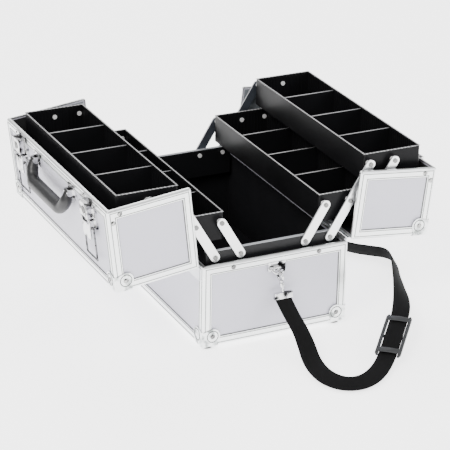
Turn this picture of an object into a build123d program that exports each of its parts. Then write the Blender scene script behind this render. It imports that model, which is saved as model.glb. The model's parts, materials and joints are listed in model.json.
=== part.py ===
from build123d import *
import os
from math import cos, radians, sin, tan

# Makeup train case: hinged half lids, four cantilever trays and a loose shoulder strap.
# Millimetres, +Z up. Origin at the middle of the bottom board's underside.
# The ends face -Y (near) and +Y (far); the left lid is at -X.

# Case shell
CASE_W = 220.0
CASE_L = 371.0
RIM_Z = 118.4            # rim of the base, above the underside of the bottom board
LID_H = 121.0
SEAM_X = 9.5             # where the two closed lids meet
SEAM_GAP = 1.0
PARTING = 1.0            # gap between the base rim and the closed lids

# Edge extrusions and boards
RAIL_W = 13.0
RAIL_T = 1.4
RAIL_R = 3.0
LIP_PAST = 0.2           # how far an extrusion's return over a free edge passes the lining
MITRE = 0.15
FIT = 0.2
BOARD_T = 2.4
LINING_T = 0.55
GLUE = 0.05
SEAT = 0.02              # gap under a fitting that stands on an extrusion
PAST = 1.0               # how far a cutter runs past the face it cuts
TINY = 0.001

# Corner caps, rivets and feet
CAP_T = 1.0
CAP_R = 11.0
CAP_CENTRE = 15.0
CAP_FIT = 0.05
CAP_CHAMFER = 4.0
RIVET_R = 3.6
RIVET_TOP_R = 2.0
RIVET_H = 1.1
RIM_RIVET_X = 65.0
LID_RIVETS = (7.0, 18.0) # from the seam edge and from the lid's top
FOOT_R = 8.0
FOOT_TAPER = 1.0
FOOT_IN = 12.0
FOOT_Z = -6.6            # surface that the case stands on

# Hinges
OPEN_LEFT = 96.7
OPEN_RIGHT = 96.3
HINGE_OUT = 2.5
HINGE_DROP = 1.5
KNUCKLE_R = 2.2
HINGE_PIN_R = 1.2
RUN_FIT = 0.05
KNUCKLES = 7
HINGE_SHORT = 21.0       # how much shorter the hinge is than the case
KNUCKLE_GAP = 0.2
LEAF_T = 1.0
LEAF_H = 19.0
LEAF_CLEAR = 0.4         # knuckle to the edge of the leaf's plate
HINGE_PIN_PAST = 1.0     # how far the pin stands out of its knuckles

# Trays and their arms
ARM_L = 57.0             # from pivot to pivot
ARM_W = 13.0
ARM_T = 2.5
ARM_IN = 13.0            # inner face of the arms, from the case's end
LEAN_LEFT = 30.7         # arms from upright, at rest
LEAN_RIGHT = 31.5
PIVOT_STEP = 38.0
PIVOT_IN = 22.8          # outer pivots, from the case's long side
PIVOT_Z = 6.4            # above the rim
PIN_R = 2.5
PIN_HEAD_R = 3.3
PIN_HEAD_H = 1.2
PIN_GAP = 0.1            # pin head to wall or arm
SPACER_GAP = 0.05
TRAY_W = 88.9
TRAY_END_CLEAR = 1.0     # tray end to collar
TRAY_H = 39.5
TRAY_RISE = 12.4         # tray rim above its pivots
TRAY_WALL = 2.0
TRAY_R = 3.0
TRAY_FLOOR = 1.5
DIVIDERS = 3
DIVIDER_T = 1.6
DIVIDER_DROP = 3.0
DIVIDER_FIT = 0.1

# Collars at the two ends of the base
COLLAR_ARM_CLEAR = 0.5
COLLAR_T = 5.0
COLLAR_SIDE = 10.0
COLLAR_RISE = 15.0
COLLAR_DROP = 28.0
COLLAR_SHELF = 4.0
COLLAR_BACK_CLEAR = 0.2

# Handle on the left lid: s is measured from the lid's seam edge, n out of the lid's top
HANDLE_S = 17.0
HANDLE_N = 6.5
HANDLE_REACH = 28.0
HANDLE_LIFT = 20.0
HANDLE_SHARE = 0.34232   # handle leg, as a share of the case's half length
HANDLE_LEG_R = 4.2
HANDLE_BEND_R = 20.0
GRIP_R = 8.5
GRIP_IN = 25.5           # grip's end, from the handle's leg
GRIP_TAPER = 14.0
BRACKET_L = 18.0
BRACKET_W = 24.0
BRACKET_T = 1.6
BRACKET_EAR = 2.4
EAR_GAP = 0.4
FOOTING = 0.5            # how far ears and walls reach down into their plate
PAD_GAP = 0.5            # pad under a plate to the extrusion's edge

# Latches, with s and n as above
LATCH_SHARE = 0.67385    # latch middle, as a share of the case's half length
LATCH_PLATE = (2.0, 42.0)
LATCH_PLATE_T = 1.4
LATCH_PLATE_HALF = 19.0
LATCH_BOX = (7.0, 27.0)
LATCH_BOX_N = 10.0
LATCH_BOX_HALF = 13.0
CYLINDER_R = 5.4
CYLINDER_FIT = 0.1
CYLINDER_FLOOR = 4.0
CYLINDER_PROUD = 0.6
KEY_SLOT = (6.4, 1.2, 1.5)
LEVER_S = 34.0
LEVER_START = 2.5        # lever plate past its pin
LEVER_TIP_R = 4.0
LEVER_N = 5.0
LEVER_PIN_R = 1.5
LEVER_HALF = 12.8
LEVER_EAR = 2.0
LEVER_EAR_R = 3.3
LEVER_END = 58.0
LEVER_TOP = (6.9, 8.6)
CHEEK_T = 2.0
CHEEK_R = 4.0
CHEEK_GAP = 0.3
LOOP_S = 40.0
LOOP_REACH = 47.0
LOOP_WIRE_R = 1.25
LOOP_HALF = 17.25
LOOP_END = 1.0           # how far the wire ends stand in past the lever's ears
LOOP_BORE_PAST = 0.5
CATCH_PLATE = (2.5, 22.0)     # past the left lid's seam edge
CATCH_HALF = 12.0
CATCH_MARGIN = 2.0
CATCH_WALL = (3.0, 4.5)
CATCH_LIP = (7.0, 8.2)
CATCH_REACH = 9.5

# Strap fittings
RING_DROP = 16.9         # ring bar below the rim
RING_OUT = 3.4
RING_R = 10.0
RING_WIRE_R = 1.4
RING_TUBE_R = 2.8
RING_TUBE_L = 13.0
RING_LEAN = 40.0
RING_PLATE = (26.0, 13.0, 1.2)
HOOK_R = 8.0
HOOK_WIRE_R = 1.8
HOOK_SLACK = 3.5         # ring wire to the middle of the hook's bend
HOOK_MOUTH = 80.0
SHANK_SHORT = 0.6
SWIVEL = (3.4, 5.0)
SWIVEL_PAST = 2.5        # swivel barrel past the hook's bend
GATE_WIRE_R = 1.2
GATE_GAP = 0.35
CLAMP = (27.0, 5.0, 9.0)
CLAMP_GAP = 0.05
STRAP_R = 4.0
SLIDER = (36.0, 88.0, 3.0)
SLIDER_RIM = 4.0
SLIDER_CORNER = 6.0
SLIDER_BAR_R = 2.0
SLIDER_BAR_BITE = 0.5
SLIDER_BAR_AT = 14.7

# The strap lies loose beside the case; its route is chosen by hand.
STRAP_ROUTE = [
    (6, -196, 56.4), (8, -214, 41.4), (12, -237, 25.4), (11, -259, 11.4), (3, -289, 3.4), (0, -327, 1.4),
    (10, -355, 1.4), (31, -366, 1.4), (59, -359, 2.4), (93, -329, 3.4), (124, -295, 17.4), (162, -250, 27.4),
    (190, -204, 24.4), (219, -147, 17.4), (246, -91, 10.4), (267, -50, 5.4), (268, -26, 5.4), (249, -10, 5.4),
    (226, 12, 5.4), (170, 110, 5.4), (125, 190, 5.4), (60, 225, 8.4), (20, 216, 23.4), (0, 197, 54.4),
]
SLIDER_LOW = 9           # the route's points at the slider's two ends
SLIDER_HIGH = 11
BEND_SHARE = 0.45        # of the shorter run at each corner of the route

# Worked out from the sizes above
HALF_W = CASE_W / 2
HALF_L = CASE_L / 2
INSET = RAIL_T + FIT
LINED = INSET + BOARD_T + GLUE
LIP_W = LINED + LINING_T + LIP_PAST
ARM_Y = HALF_L - ARM_IN
COLLAR_Y = ARM_Y - COLLAR_ARM_CLEAR - COLLAR_T
COLLAR_W = CASE_W - 2 * COLLAR_SIDE
COLLAR_BACK = HALF_L - LINED - LINING_T - COLLAR_BACK_CLEAR
TRAY_L = 2 * (COLLAR_Y - TRAY_END_CLEAR)
PIVOT_X = HALF_W - PIVOT_IN
KNUCKLE_L = (CASE_L - HINGE_SHORT) / KNUCKLES
LATCH_Y = HALF_L * LATCH_SHARE
HANDLE_Y = HALF_L * HANDLE_SHARE
GRIP_L = 2 * (HANDLE_Y - GRIP_IN)
RING_Z = RIM_Z - RING_DROP
BASE_LO = (-HALF_W, -HALF_L, -INSET)
BASE_HI = (HALF_W, HALF_L, RIM_Z)
LID_Z = RIM_Z + PARTING
LID_TOP = LID_Z + LID_H
SEAM_EDGE = SEAM_X - SEAM_GAP / 2
HINGE_X = HALF_W + HINGE_OUT
HINGE_Z = RIM_Z - HINGE_DROP
PIVOT_ROW = RIM_Z + PIVOT_Z
TRAY_END = TRAY_L / 2
PIN_END = ARM_Y + ARM_T + PIN_GAP
PIVOTS = (-PIVOT_X, PIVOT_STEP - PIVOT_X, PIVOT_X - PIVOT_STEP, PIVOT_X)
LOCK_S = sum(LATCH_BOX) / 2
PROUD = CAP_T + CAP_FIT + SEAT
SIDES = (("left", -1, OPEN_LEFT, LEAN_LEFT), ("right", 1, OPEN_RIGHT, LEAN_RIGHT))
LATCHES = (("near", -LATCH_Y), ("far", LATCH_Y))
BOTTOM = (Align.CENTER, Align.CENTER, Align.MIN)


def finish(builder, name):
    builder.part.label = name
    export_step(builder.part, f"parts/{name}.step")


def block(lo, hi, mode=Mode.ADD):
    """A box between two corners."""
    middle = [(a + b) / 2 for a, b in zip(lo, hi)]
    with Locations(Location(middle)):
        Box(*[b - a for a, b in zip(lo, hi)], mode=mode)


def rod(point, direction, radius, length, mode=Mode.ADD):
    """A round rod that starts at a point."""
    with Locations(Plane(origin=point, z_dir=direction).location):
        Cylinder(radius, length, align=BOTTOM, mode=mode)


def inset_box(lo, hi, inset):
    return [a + inset for a in lo], [b - inset for b in hi]


# ---------------------------------------------------------------- shell


def box_frame(lo, hi, open_faces):
    """Extrusions along a box's edges: closed faces keep a wide strip, open faces a narrow lip."""
    inner_lo, inner_hi = inset_box(lo, hi, RAIL_T)
    with BuildPart() as frame:
        block(lo, hi)
        fillet(frame.edges(), RAIL_R)
        block(inner_lo, inner_hi, Mode.SUBTRACT)
        for axis in range(3):
            for end in (-1, 1):
                border = LIP_W if (axis, end) in open_faces else RAIL_W
                window_lo, window_hi = inset_box(lo, hi, border)
                window_lo[axis] = (lo[axis] if end < 0 else inner_hi[axis]) - PAST
                window_hi[axis] = (inner_lo[axis] if end < 0 else hi[axis]) + PAST
                block(window_lo, window_hi, Mode.SUBTRACT)
        for z in (lo[2] + RAIL_W, hi[2] - RAIL_W):
            block((lo[0] - PAST, lo[1] - PAST, z - MITRE / 2), (hi[0] + PAST, hi[1] + PAST, z + MITRE / 2),
                  Mode.SUBTRACT)
        for z in (lo[2] + RAIL_W / 2, hi[2] - RAIL_W / 2):
            for x, turn in ((lo[0], 45), (hi[0], -45)):
                for y, flip in ((lo[1], 1), (hi[1], -1)):
                    with Locations(Location((x, y, z), (0, 0, turn * flip))):
                        Box(4 * RAIL_W, MITRE, RAIL_W + 2 * PAST, mode=Mode.SUBTRACT)
    return frame.part


def boards(lo, hi, thick, faces):
    """Flat boards on the named faces of a box, butted at the edges."""
    butt = thick + GLUE
    inner_lo = [lo[k] + (butt if (k, -1) in faces else 0) for k in range(3)]
    inner_hi = [hi[k] - (butt if (k, 1) in faces else 0) for k in range(3)]
    with BuildPart() as panel:
        for axis, end in faces:
            board_lo = [lo[k] if k < axis or axis == 2 else inner_lo[k] for k in range(3)]
            board_hi = [hi[k] if k < axis or axis == 2 else inner_hi[k] for k in range(3)]
            if axis == 0:
                board_lo[1], board_hi[1] = lo[1], hi[1]
            if axis == 1:
                board_lo[0], board_hi[0] = inner_lo[0], inner_hi[0]
            if end < 0:
                board_lo[axis], board_hi[axis] = lo[axis], lo[axis] + thick
            else:
                board_lo[axis], board_hi[axis] = hi[axis] - thick, hi[axis]
            block(board_lo, board_hi)
    return panel.part


def cap_lobe(plane):
    """One face of a corner cap: a disc joined to the corner by a square."""
    with BuildSketch(plane) as lobe:
        with Locations((CAP_CENTRE, CAP_CENTRE)):
            Circle(CAP_R)
        reach = CAP_CENTRE + CAP_R
        edge = -CAP_T - CAP_FIT
        with BuildLine():
            Polyline((edge, edge), (reach - CAP_CHAMFER, edge), (reach, CAP_CENTRE), (CAP_CENTRE, reach),
                     (edge, reach - CAP_CHAMFER), (edge, edge))
        make_face()
    return lobe.sketch


def corner_cap():
    """A pressed cap over three faces of a corner at the origin, the box on the positive side."""
    reach = CAP_CENTRE + CAP_R
    outer = CAP_T + CAP_FIT
    with BuildPart() as hollow:
        block((-CAP_FIT,) * 3, (2 * reach,) * 3)
        near = [e for e in hollow.edges() if sum(abs(v) < TINY + CAP_FIT for v in e.center()) >= 2]
        fillet(near, RAIL_R)
    with BuildPart() as lobes:
        for plane in (Plane.XY, Plane(origin=(0, 0, 0), x_dir=(0, 1, 0), z_dir=(1, 0, 0)),
                      Plane(origin=(0, 0, 0), x_dir=(0, 0, 1), z_dir=(0, 1, 0))):
            extrude(cap_lobe(plane.offset(-outer)), amount=RAIL_R + outer)
    with BuildPart() as cap:
        block((-outer,) * 3, (reach,) * 3)
        near = [e for e in cap.edges() if sum(abs(v + outer) < TINY for v in e.center()) >= 2]
        fillet(near, RAIL_R + CAP_T)
        add(hollow.part, mode=Mode.SUBTRACT)
        add(lobes.part, mode=Mode.INTERSECT)
    return cap.part


def corner_place(corner, inward):
    """Where a corner cap goes, from the corner and the three inward directions as signs."""
    a, b, c = inward
    if a * b * c > 0:
        return Plane(origin=corner, x_dir=(a, 0, 0), z_dir=(0, 0, c)).location
    return Plane(origin=corner, x_dir=(0, b, 0), z_dir=(0, 0, c)).location


def rivet_heads(points, direction):
    for point in points:
        with Locations(Plane(origin=point, z_dir=direction).location):
            Cone(RIVET_R, RIVET_TOP_R, RIVET_H, align=BOTTOM)


def lid_box(side):
    """The two corners of a closed lid."""
    inner = SEAM_X + side * SEAM_GAP / 2
    outer = side * HALF_W
    return (min(inner, outer), -HALF_L, LID_Z), (max(inner, outer), HALF_L, LID_TOP)


def swing(side, angle):
    """Carries a closed lid to where it stands open."""
    return (Location((side * HINGE_X, 0, HINGE_Z), (0, side * angle, 0))
            * Location((-side * HINGE_X, 0, -HINGE_Z)))


base_frame = box_frame(BASE_LO, BASE_HI, [(2, 1)])
cap = corner_cap()
BASE_FACES = [(2, -1), (0, -1), (0, 1), (1, -1), (1, 1)]
os.makedirs("parts", exist_ok=True)

with BuildPart() as base_panels:
    add(boards(*inset_box(BASE_LO, BASE_HI, INSET), BOARD_T, BASE_FACES))
finish(base_panels, "base_panels")

with BuildPart() as base_lining:
    add(boards(*inset_box(BASE_LO, BASE_HI, LINED), LINING_T, BASE_FACES))
finish(base_lining, "base_lining")

with BuildPart() as base_rim_rails:
    add(base_frame)
    block((-CASE_W, -CASE_L, -CASE_W), (CASE_W, CASE_L, RIM_Z - RAIL_W), Mode.SUBTRACT)
finish(base_rim_rails, "base_rim_rails")

with BuildPart() as base_edge_rails:
    add(base_frame)
    block((-CASE_W, -CASE_L, RIM_Z - RAIL_W), (CASE_W, CASE_L, CASE_W), Mode.SUBTRACT)
finish(base_edge_rails, "base_edge_rails")

with BuildPart() as base_corner_caps:
    for x in (-1, 1):
        for y in (-1, 1):
            add(corner_place((x * HALF_W, y * HALF_L, BASE_LO[2]), (-x, -y, 1)) * cap)
finish(base_corner_caps, "base_corner_caps")

with BuildPart() as base_feet:
    top = BASE_LO[2] - CAP_T - 2 * CAP_FIT
    for x in (-1, 1):
        for y in (-1, 1):
            with Locations((x * (HALF_W - FOOT_IN), y * (HALF_L - FOOT_IN), FOOT_Z)):
                Cone(FOOT_R - FOOT_TAPER, FOOT_R, top - FOOT_Z, align=BOTTOM)
finish(base_feet, "base_feet")

with BuildPart() as end_collars:
    for end in (-1, 1):
        block((-COLLAR_W / 2, min(end * COLLAR_Y, end * (COLLAR_Y + COLLAR_T)), RIM_Z - COLLAR_DROP),
              (COLLAR_W / 2, max(end * COLLAR_Y, end * (COLLAR_Y + COLLAR_T)), RIM_Z + COLLAR_RISE))
        block((-COLLAR_W / 2, min(end * COLLAR_Y, end * COLLAR_BACK), RIM_Z - COLLAR_DROP),
              (COLLAR_W / 2, max(end * COLLAR_Y, end * COLLAR_BACK), RIM_Z - COLLAR_SHELF))
        for x in PIVOTS:
            rod((x, end * (COLLAR_Y - PAST), PIVOT_ROW), (0, end, 0), PIN_R + RUN_FIT, COLLAR_T + 2 * PAST,
                Mode.SUBTRACT)
finish(end_collars, "end_collars")


# ---------------------------------------------------------------- trays and arms


def pivot_rivet(x, z, end, wall, wall_t):
    """A pivot pin through a wall and an arm, with a spacer between them and a head at each end."""
    along = (0, end, 0)
    inner = wall - PIN_GAP
    spacer = wall + wall_t + SPACER_GAP
    rod((x, end * inner, z), along, PIN_R, PIN_END - inner)
    rod((x, end * (inner - PIN_HEAD_H), z), along, PIN_HEAD_R, PIN_HEAD_H)
    rod((x, end * spacer, z), along, PIN_HEAD_R, ARM_Y - PIN_GAP - spacer)
    rod((x, end * PIN_END, z), along, PIN_HEAD_R, PIN_HEAD_H)


def arm(x, z, side, lean, spans):
    """A flat arm at both ends of the case, from a pivot upwards and outwards."""
    for end in (-1, 1):
        along = (side * sin(radians(lean)), 0, cos(radians(lean)))
        with BuildSketch(Plane(origin=(x, end * ARM_Y, z), x_dir=along, z_dir=(0, end, 0))) as flat:
            with Locations((spans * ARM_L / 2, 0)):
                SlotCenterToCenter(spans * ARM_L, ARM_W)
            with Locations(*[(k * ARM_L, 0) for k in range(spans + 1)]):
                Circle(PIN_R + RUN_FIT, mode=Mode.SUBTRACT)
        extrude(flat.sketch, amount=ARM_T)


def tray_place(side, lean, level):
    """Middle of a tray in x, the height of its pivots and the height of its rim."""
    out = PIVOT_X + level * ARM_L * sin(radians(lean)) + (level - 1) * PIVOT_STEP
    pivots = PIVOT_ROW + level * ARM_L * cos(radians(lean))
    return side * out, pivots, pivots + TRAY_RISE


for name, side, angle, lean in SIDES:
    with BuildPart() as long_arms:
        arm(side * PIVOT_X, PIVOT_ROW, side, lean, 2)
    finish(long_arms, f"{name}_long_arms")

    with BuildPart() as short_arms:
        arm(side * (PIVOT_X - PIVOT_STEP), PIVOT_ROW, side, lean, 1)
    finish(short_arms, f"{name}_short_arms")

    with BuildPart() as upper_arms:
        x, z, rim = tray_place(side, lean, 1)
        arm(x + side * PIVOT_STEP, z, side, lean, 1)
    finish(upper_arms, f"{name}_upper_arms")

    for level, tier in ((1, "lower"), (2, "upper")):
        x, z, rim = tray_place(side, lean, level)
        steps = (-1, 0, 1) if level == 1 else (-1, 0)
        pivots = [x + side * step * PIVOT_STEP for step in steps]
        half = TRAY_W / 2
        floor = rim - TRAY_H
        with BuildPart() as tray:
            block((x - half, -TRAY_END, floor), (x + half, TRAY_END, rim))
            fillet(tray.edges().filter_by(Axis.Z), TRAY_R)
            block((x - half + TRAY_WALL, -TRAY_END + TRAY_WALL, floor + TRAY_FLOOR),
                  (x + half - TRAY_WALL, TRAY_END - TRAY_WALL, rim + PAST), Mode.SUBTRACT)
            for pivot in pivots:
                rod((pivot, -CASE_L, z), (0, 1, 0), PIN_R + RUN_FIT, 2 * CASE_L, Mode.SUBTRACT)
        finish(tray, f"{name}_{tier}_tray")

        with BuildPart() as tray_dividers:
            pitch = (TRAY_L - TRAY_WALL) / (DIVIDERS + 1)
            for k in range(DIVIDERS):
                y = (k - (DIVIDERS - 1) / 2) * pitch
                block((x - half + TRAY_WALL + DIVIDER_FIT, y - DIVIDER_T / 2, floor + TRAY_FLOOR + GLUE),
                      (x + half - TRAY_WALL - DIVIDER_FIT, y + DIVIDER_T / 2, rim - DIVIDER_DROP))
        finish(tray_dividers, f"{name}_{tier}_tray_dividers")

        with BuildPart() as tray_rivets:
            for pivot in pivots:
                for end in (-1, 1):
                    pivot_rivet(pivot, z, end, TRAY_END - TRAY_WALL, TRAY_WALL)
        finish(tray_rivets, f"{name}_{tier}_tray_rivets")


# ---------------------------------------------------------------- lids and hinges


def hinge_leaf(side, upward, first):
    """A hinge leaf with every other knuckle, below or above the pin."""
    inner = side * (HALF_W + FIT)
    with BuildPart() as leaf:
        length = KNUCKLES * KNUCKLE_L
        edge = HINGE_Z + upward * (KNUCKLE_R + LEAF_CLEAR)
        far = edge + upward * LEAF_H
        block((min(inner, inner + side * LEAF_T), -length / 2, min(edge, far)),
              (max(inner, inner + side * LEAF_T), length / 2, max(edge, far)))
        for k in range(first, KNUCKLES, 2):
            start = -length / 2 + k * KNUCKLE_L + KNUCKLE_GAP / 2
            span = KNUCKLE_L - KNUCKLE_GAP
            rod((side * HINGE_X, start, HINGE_Z), (0, 1, 0), KNUCKLE_R, span)
            block((min(inner, inner + side * LEAF_T), start, min(edge, HINGE_Z)),
                  (max(inner, inner + side * LEAF_T), start + span, max(edge, HINGE_Z)))
        rod((side * HINGE_X, -length, HINGE_Z), (0, 1, 0), HINGE_PIN_R + RUN_FIT, 2 * length, Mode.SUBTRACT)
    return leaf.part


with BuildPart() as hinge_base_leaves:
    for side in (-1, 1):
        add(hinge_leaf(side, -1, 0))
finish(hinge_base_leaves, "hinge_base_leaves")

for name, side, angle, lean in SIDES:
    opened = swing(side, angle)
    lid_lo, lid_hi = lid_box(side)
    lid_faces = [(2, 1), (0, side), (1, -1), (1, 1)]
    seam = lid_hi[0] if side < 0 else lid_lo[0]

    with BuildPart() as hinge_pin:
        half_pin = KNUCKLES * KNUCKLE_L / 2 + HINGE_PIN_PAST
        rod((side * HINGE_X, -half_pin, HINGE_Z), (0, 1, 0), HINGE_PIN_R, 2 * half_pin)
    finish(hinge_pin, f"{name}_hinge_pin")

    with BuildPart() as lid_hinge_leaf:
        add(opened * hinge_leaf(side, 1, 1))
    finish(lid_hinge_leaf, f"{name}_hinge_leaf")

    with BuildPart() as lid_panels:
        add(opened * boards(*inset_box(lid_lo, lid_hi, INSET), BOARD_T, lid_faces))
    finish(lid_panels, f"{name}_lid_panels")

    with BuildPart() as lid_lining:
        lining_lo, lining_hi = inset_box(lid_lo, lid_hi, LINED)
        add(opened * boards(lining_lo, lining_hi, LINING_T, lid_faces))
    finish(lid_lining, f"{name}_lid_lining")

    with BuildPart() as closed_rails:
        add(box_frame(lid_lo, lid_hi, [(2, -1), (0, -side)]))
        seam_ends = sorted((seam - side * PAST, seam + side * RAIL_W))
        block((seam_ends[0], -HALF_L + LIP_W, LID_Z - PAST),
              (seam_ends[1], HALF_L - LIP_W, LID_Z + RAIL_W), Mode.SUBTRACT)
    with BuildPart() as lid_rails:
        add(opened * closed_rails.part)
    finish(lid_rails, f"{name}_lid_rails")

    with BuildPart() as lid_corner_caps:
        for end in (-1, 1):
            place = corner_place((side * HALF_W, end * HALF_L, LID_TOP), (-side, -end, -1))
            add(opened * place * cap)
    finish(lid_corner_caps, f"{name}_lid_corner_caps")

    with BuildPart() as closed_rivets:
        for end in (-1, 1):
            face = end * (HALF_L + PROUD)
            rivet_heads([(side * (HALF_W - CAP_CENTRE), face, LID_TOP - CAP_CENTRE)], (0, end, 0))
            bare = end * (HALF_L + SEAT)
            low, high = LID_RIVETS
            rivet_heads([(seam + side * low, bare, LID_TOP - high), (seam + side * high, bare, LID_TOP - low)],
                        (0, end, 0))
            rivet_heads([(side * (HALF_W + PROUD), end * (HALF_L - CAP_CENTRE), LID_TOP - CAP_CENTRE)],
                        (side, 0, 0))
            rivet_heads([(side * (HALF_W - CAP_CENTRE), end * (HALF_L - CAP_CENTRE), LID_TOP + PROUD)],
                        (0, 0, 1))
    with BuildPart() as lid_rivets:
        add(opened * closed_rivets.part)
    finish(lid_rivets, f"{name}_lid_rivets")

with BuildPart() as base_rivets:
    cap_z = BASE_LO[2] + CAP_CENTRE
    for end in (-1, 1):
        rivet_heads([(x * (HALF_W - CAP_CENTRE), end * (HALF_L + PROUD), cap_z) for x in (-1, 1)], (0, end, 0))
        rivet_heads([(x * RIM_RIVET_X, end * (HALF_L + SEAT), RIM_Z - RAIL_W / 2) for x in (-1, 1)],
                    (0, end, 0))
        for x in (-1, 1):
            rivet_heads([(x * (HALF_W + PROUD), end * (HALF_L - CAP_CENTRE), cap_z)], (x, 0, 0))
        for x in PIVOTS:
            pivot_rivet(x, PIVOT_ROW, end, COLLAR_Y, COLLAR_T)
finish(base_rivets, "base_rivets")


# ---------------------------------------------------------------- handle and latches


def lid_block(y, s, n, half, mode=Mode.ADD):
    """A box on the left lid's top, from its ranges in s and n and its half width in y."""
    block((SEAM_EDGE - max(s), y - half, LID_TOP + min(n)),
          (SEAM_EDGE - min(s), y + half, LID_TOP + max(n)), mode)


def lid_point(s, y, n):
    return (SEAM_EDGE - s, y, LID_TOP + n)


def lid_rod(s, n, y_from, y_to, radius, mode=Mode.ADD):
    """A round rod along y on the left lid's top."""
    rod(lid_point(s, min(y_from, y_to), n), (0, 1, 0), radius, abs(y_to - y_from), mode)


PAD_N = GLUE - INSET     # foot of the pad under a plate
lid_open = swing(-1, OPEN_LEFT)

with BuildPart() as closed_brackets:
    for end in (-1, 1):
        y = end * HANDLE_Y
        near = HANDLE_S - BRACKET_L / 2
        far = HANDLE_S + BRACKET_L / 2
        lid_block(y, (near, far), (SEAT, BRACKET_T), BRACKET_W / 2)
        lid_block(y, (RAIL_W + PAD_GAP, far), (PAD_N, BRACKET_T), BRACKET_W / 2)
        for ear in (-1, 1):
            edge = y + ear * (HANDLE_LEG_R + EAR_GAP + BRACKET_EAR / 2)
            lid_rod(HANDLE_S, HANDLE_N, edge - BRACKET_EAR / 2, edge + BRACKET_EAR / 2, HANDLE_LEG_R)
            lid_block(edge, (HANDLE_S - HANDLE_LEG_R, HANDLE_S + HANDLE_LEG_R), (FOOTING, HANDLE_N),
                      BRACKET_EAR / 2)
        lid_rod(HANDLE_S, HANDLE_N, y - BRACKET_W, y + BRACKET_W, PIN_R + RUN_FIT, Mode.SUBTRACT)
with BuildPart() as handle_brackets:
    add(lid_open * closed_brackets.part)
finish(handle_brackets, "handle_brackets")

with BuildPart() as closed_grip:
    lift = radians(HANDLE_LIFT)
    reach = Plane(origin=lid_point(HANDLE_S, 0, HANDLE_N), x_dir=(0, 1, 0), z_dir=(sin(lift), 0, cos(lift)))
    with BuildLine(reach):
        bow = FilletPolyline((-HANDLE_Y, 0), (-HANDLE_Y, HANDLE_REACH), (HANDLE_Y, HANDLE_REACH),
                             (HANDLE_Y, 0), radius=HANDLE_BEND_R)
    with BuildSketch(Plane(origin=bow @ 0, z_dir=bow % 0)):
        Circle(HANDLE_LEG_R)
    sweep(path=bow)
    bar = lid_point(HANDLE_S + HANDLE_REACH * cos(lift), 0, HANDLE_N + HANDLE_REACH * sin(lift))
    rod((bar[0], -GRIP_L / 2, bar[2]), (0, 1, 0), GRIP_R, GRIP_L)
    for end in (-1, 1):
        with Locations(Plane(origin=(bar[0], end * GRIP_L / 2, bar[2]), z_dir=(0, end, 0)).location):
            Cone(GRIP_R, HANDLE_LEG_R, GRIP_TAPER, align=BOTTOM)
        with Locations(lid_point(HANDLE_S, end * HANDLE_Y, HANDLE_N)):
            Sphere(HANDLE_LEG_R)
        pin_half = HANDLE_LEG_R + EAR_GAP + BRACKET_EAR
        lid_rod(HANDLE_S, HANDLE_N, end * HANDLE_Y - pin_half, end * HANDLE_Y + pin_half, PIN_R)
with BuildPart() as handle_grip:
    add(lid_open * closed_grip.part)
finish(handle_grip, "handle_grip")

with BuildPart() as closed_bodies:
    for latch, y in LATCHES:
        lid_block(y, LATCH_PLATE, (SEAT, LATCH_PLATE_T), LATCH_PLATE_HALF)
        lid_block(y, (RAIL_W + PAD_GAP, LATCH_PLATE[1]), (PAD_N, LATCH_PLATE_T), LATCH_PLATE_HALF)
        lid_block(y, LATCH_BOX, (LATCH_PLATE_T, LATCH_BOX_N), LATCH_BOX_HALF)
        for ear in (-1, 1):
            cheek = y + ear * (LEVER_HALF + CHEEK_GAP + CHEEK_T / 2)
            lid_rod(LEVER_S, LEVER_N, cheek - CHEEK_T / 2, cheek + CHEEK_T / 2, CHEEK_R)
            lid_block(cheek, (LEVER_S - CHEEK_R, LEVER_S + CHEEK_R), (FOOTING, LEVER_N), CHEEK_T / 2)
        lid_rod(LEVER_S, LEVER_N, y - LATCH_PLATE_HALF, y + LATCH_PLATE_HALF, LEVER_PIN_R + RUN_FIT,
                Mode.SUBTRACT)
        rod(lid_point(LOCK_S, y, CYLINDER_FLOOR), (0, 0, 1), CYLINDER_R + CYLINDER_FIT, LATCH_BOX_N,
            Mode.SUBTRACT)
with BuildPart() as latch_bodies:
    add(lid_open * closed_bodies.part)
finish(latch_bodies, "latch_bodies")

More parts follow.
